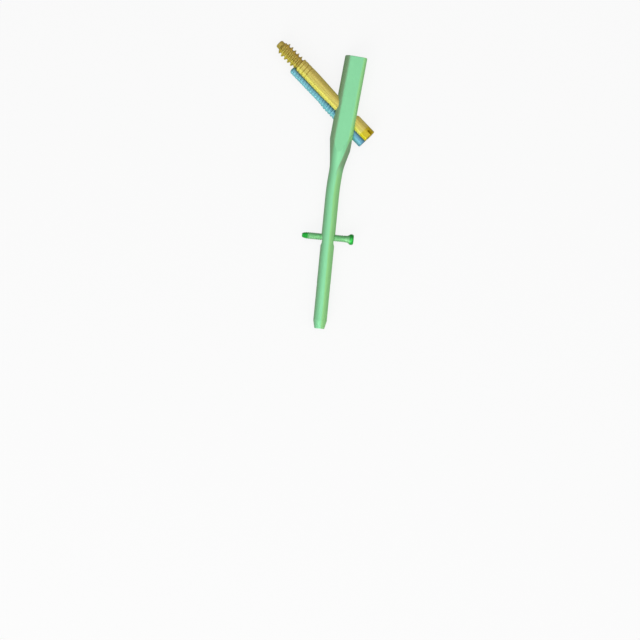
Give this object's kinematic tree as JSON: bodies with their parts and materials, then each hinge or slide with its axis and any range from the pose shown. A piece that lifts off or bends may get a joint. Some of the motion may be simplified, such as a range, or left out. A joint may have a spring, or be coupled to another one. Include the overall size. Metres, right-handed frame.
{
  "type": "intramedullary nail",
  "caption": "Short cannulated hip nail with interlocking neck screws, a set screw inside its head and a distal locking screw in a slot",
  "frame": {"origin": "centre of the nail's flat top face, on the axis of its proximal bore", "axes": "+X to the lateral side, +Y up along the nail's proximal axis, +Z to the front, which is up where the part lies on its back"},
  "size_m": [0.0816, 0.2021, 0.0152],
  "materials": {
    "nail_green": "satin anodised titanium, pale green",
    "lag_gold": "satin anodised titanium, yellow gold",
    "compression_blue": "satin anodised titanium, light blue",
    "set_green": "satin anodised titanium, green",
    "distal_green": "polished anodised titanium, deep green"
  },
  "bodies": {
    "nail": {"nail_body": "nail_green"},
    "lag": {"lag_screw": "lag_gold"},
    "compression": {"compression_screw": "compression_blue"},
    "set": {"set_screw": "set_green"},
    "distal": {"distal_screw": "distal_green"}
  },
  "joints": [
    {"name": "compression_spin", "type": "hinge", "parent": "nail", "child": "compression", "pos_m": [-0.00365, -0.04668, 0], "axis": [-0.8121, 0.5835, 0], "range_deg": [-900, 0]},
    {"name": "lag_slide", "type": "slide", "parent": "nail", "child": "lag", "axis": [-0.8121, 0.5835, 0], "range_m": [0, 0.00625]},
    {"name": "set_screw_slide", "type": "slide", "parent": "nail", "child": "set", "axis": [0, 1, 0], "range_m": [0, 0.006]},
    {"name": "distal_slide", "type": "slide", "parent": "nail", "child": "distal", "axis": [0.0872, -0.9962, 0], "range_m": [0, 0.0036]}
  ],
  "couplings": [
    {"joint": "compression_spin", "follows": "lag_slide", "rad_per_m": -2513.3}
  ]
}
